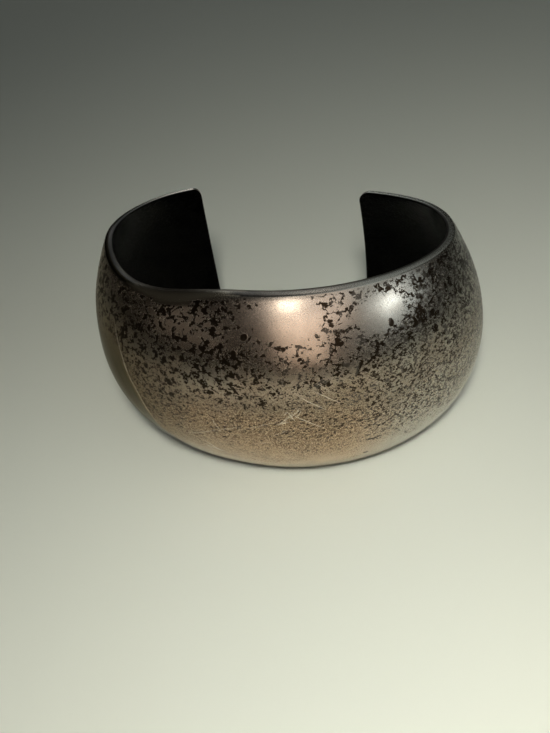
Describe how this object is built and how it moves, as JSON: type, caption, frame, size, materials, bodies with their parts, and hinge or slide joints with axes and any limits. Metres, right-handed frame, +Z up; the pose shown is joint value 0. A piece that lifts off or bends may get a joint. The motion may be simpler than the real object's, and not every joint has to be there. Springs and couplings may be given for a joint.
{
  "type": "cuff bracelet",
  "caption": "Open domed cuff bracelet: a tapered, outward-curved band of aged silver with a gap at the back that slips over the wrist.",
  "frame": {"origin": "middle of the bounding box, on the surface that the lower rim rests on", "axes": "+Z up out of the wrist opening, -Y towards the broad domed front, +Y towards the gap between the tips, +X to the right seen from the front"},
  "size_m": [0.066, 0.0506, 0.034],
  "materials": {
    "cuff_band": "aged silver, worn satin with dark tarnish specks"
  },
  "bodies": {
    "root": {"cuff_band": "cuff_band"}
  },
  "joints": []
}
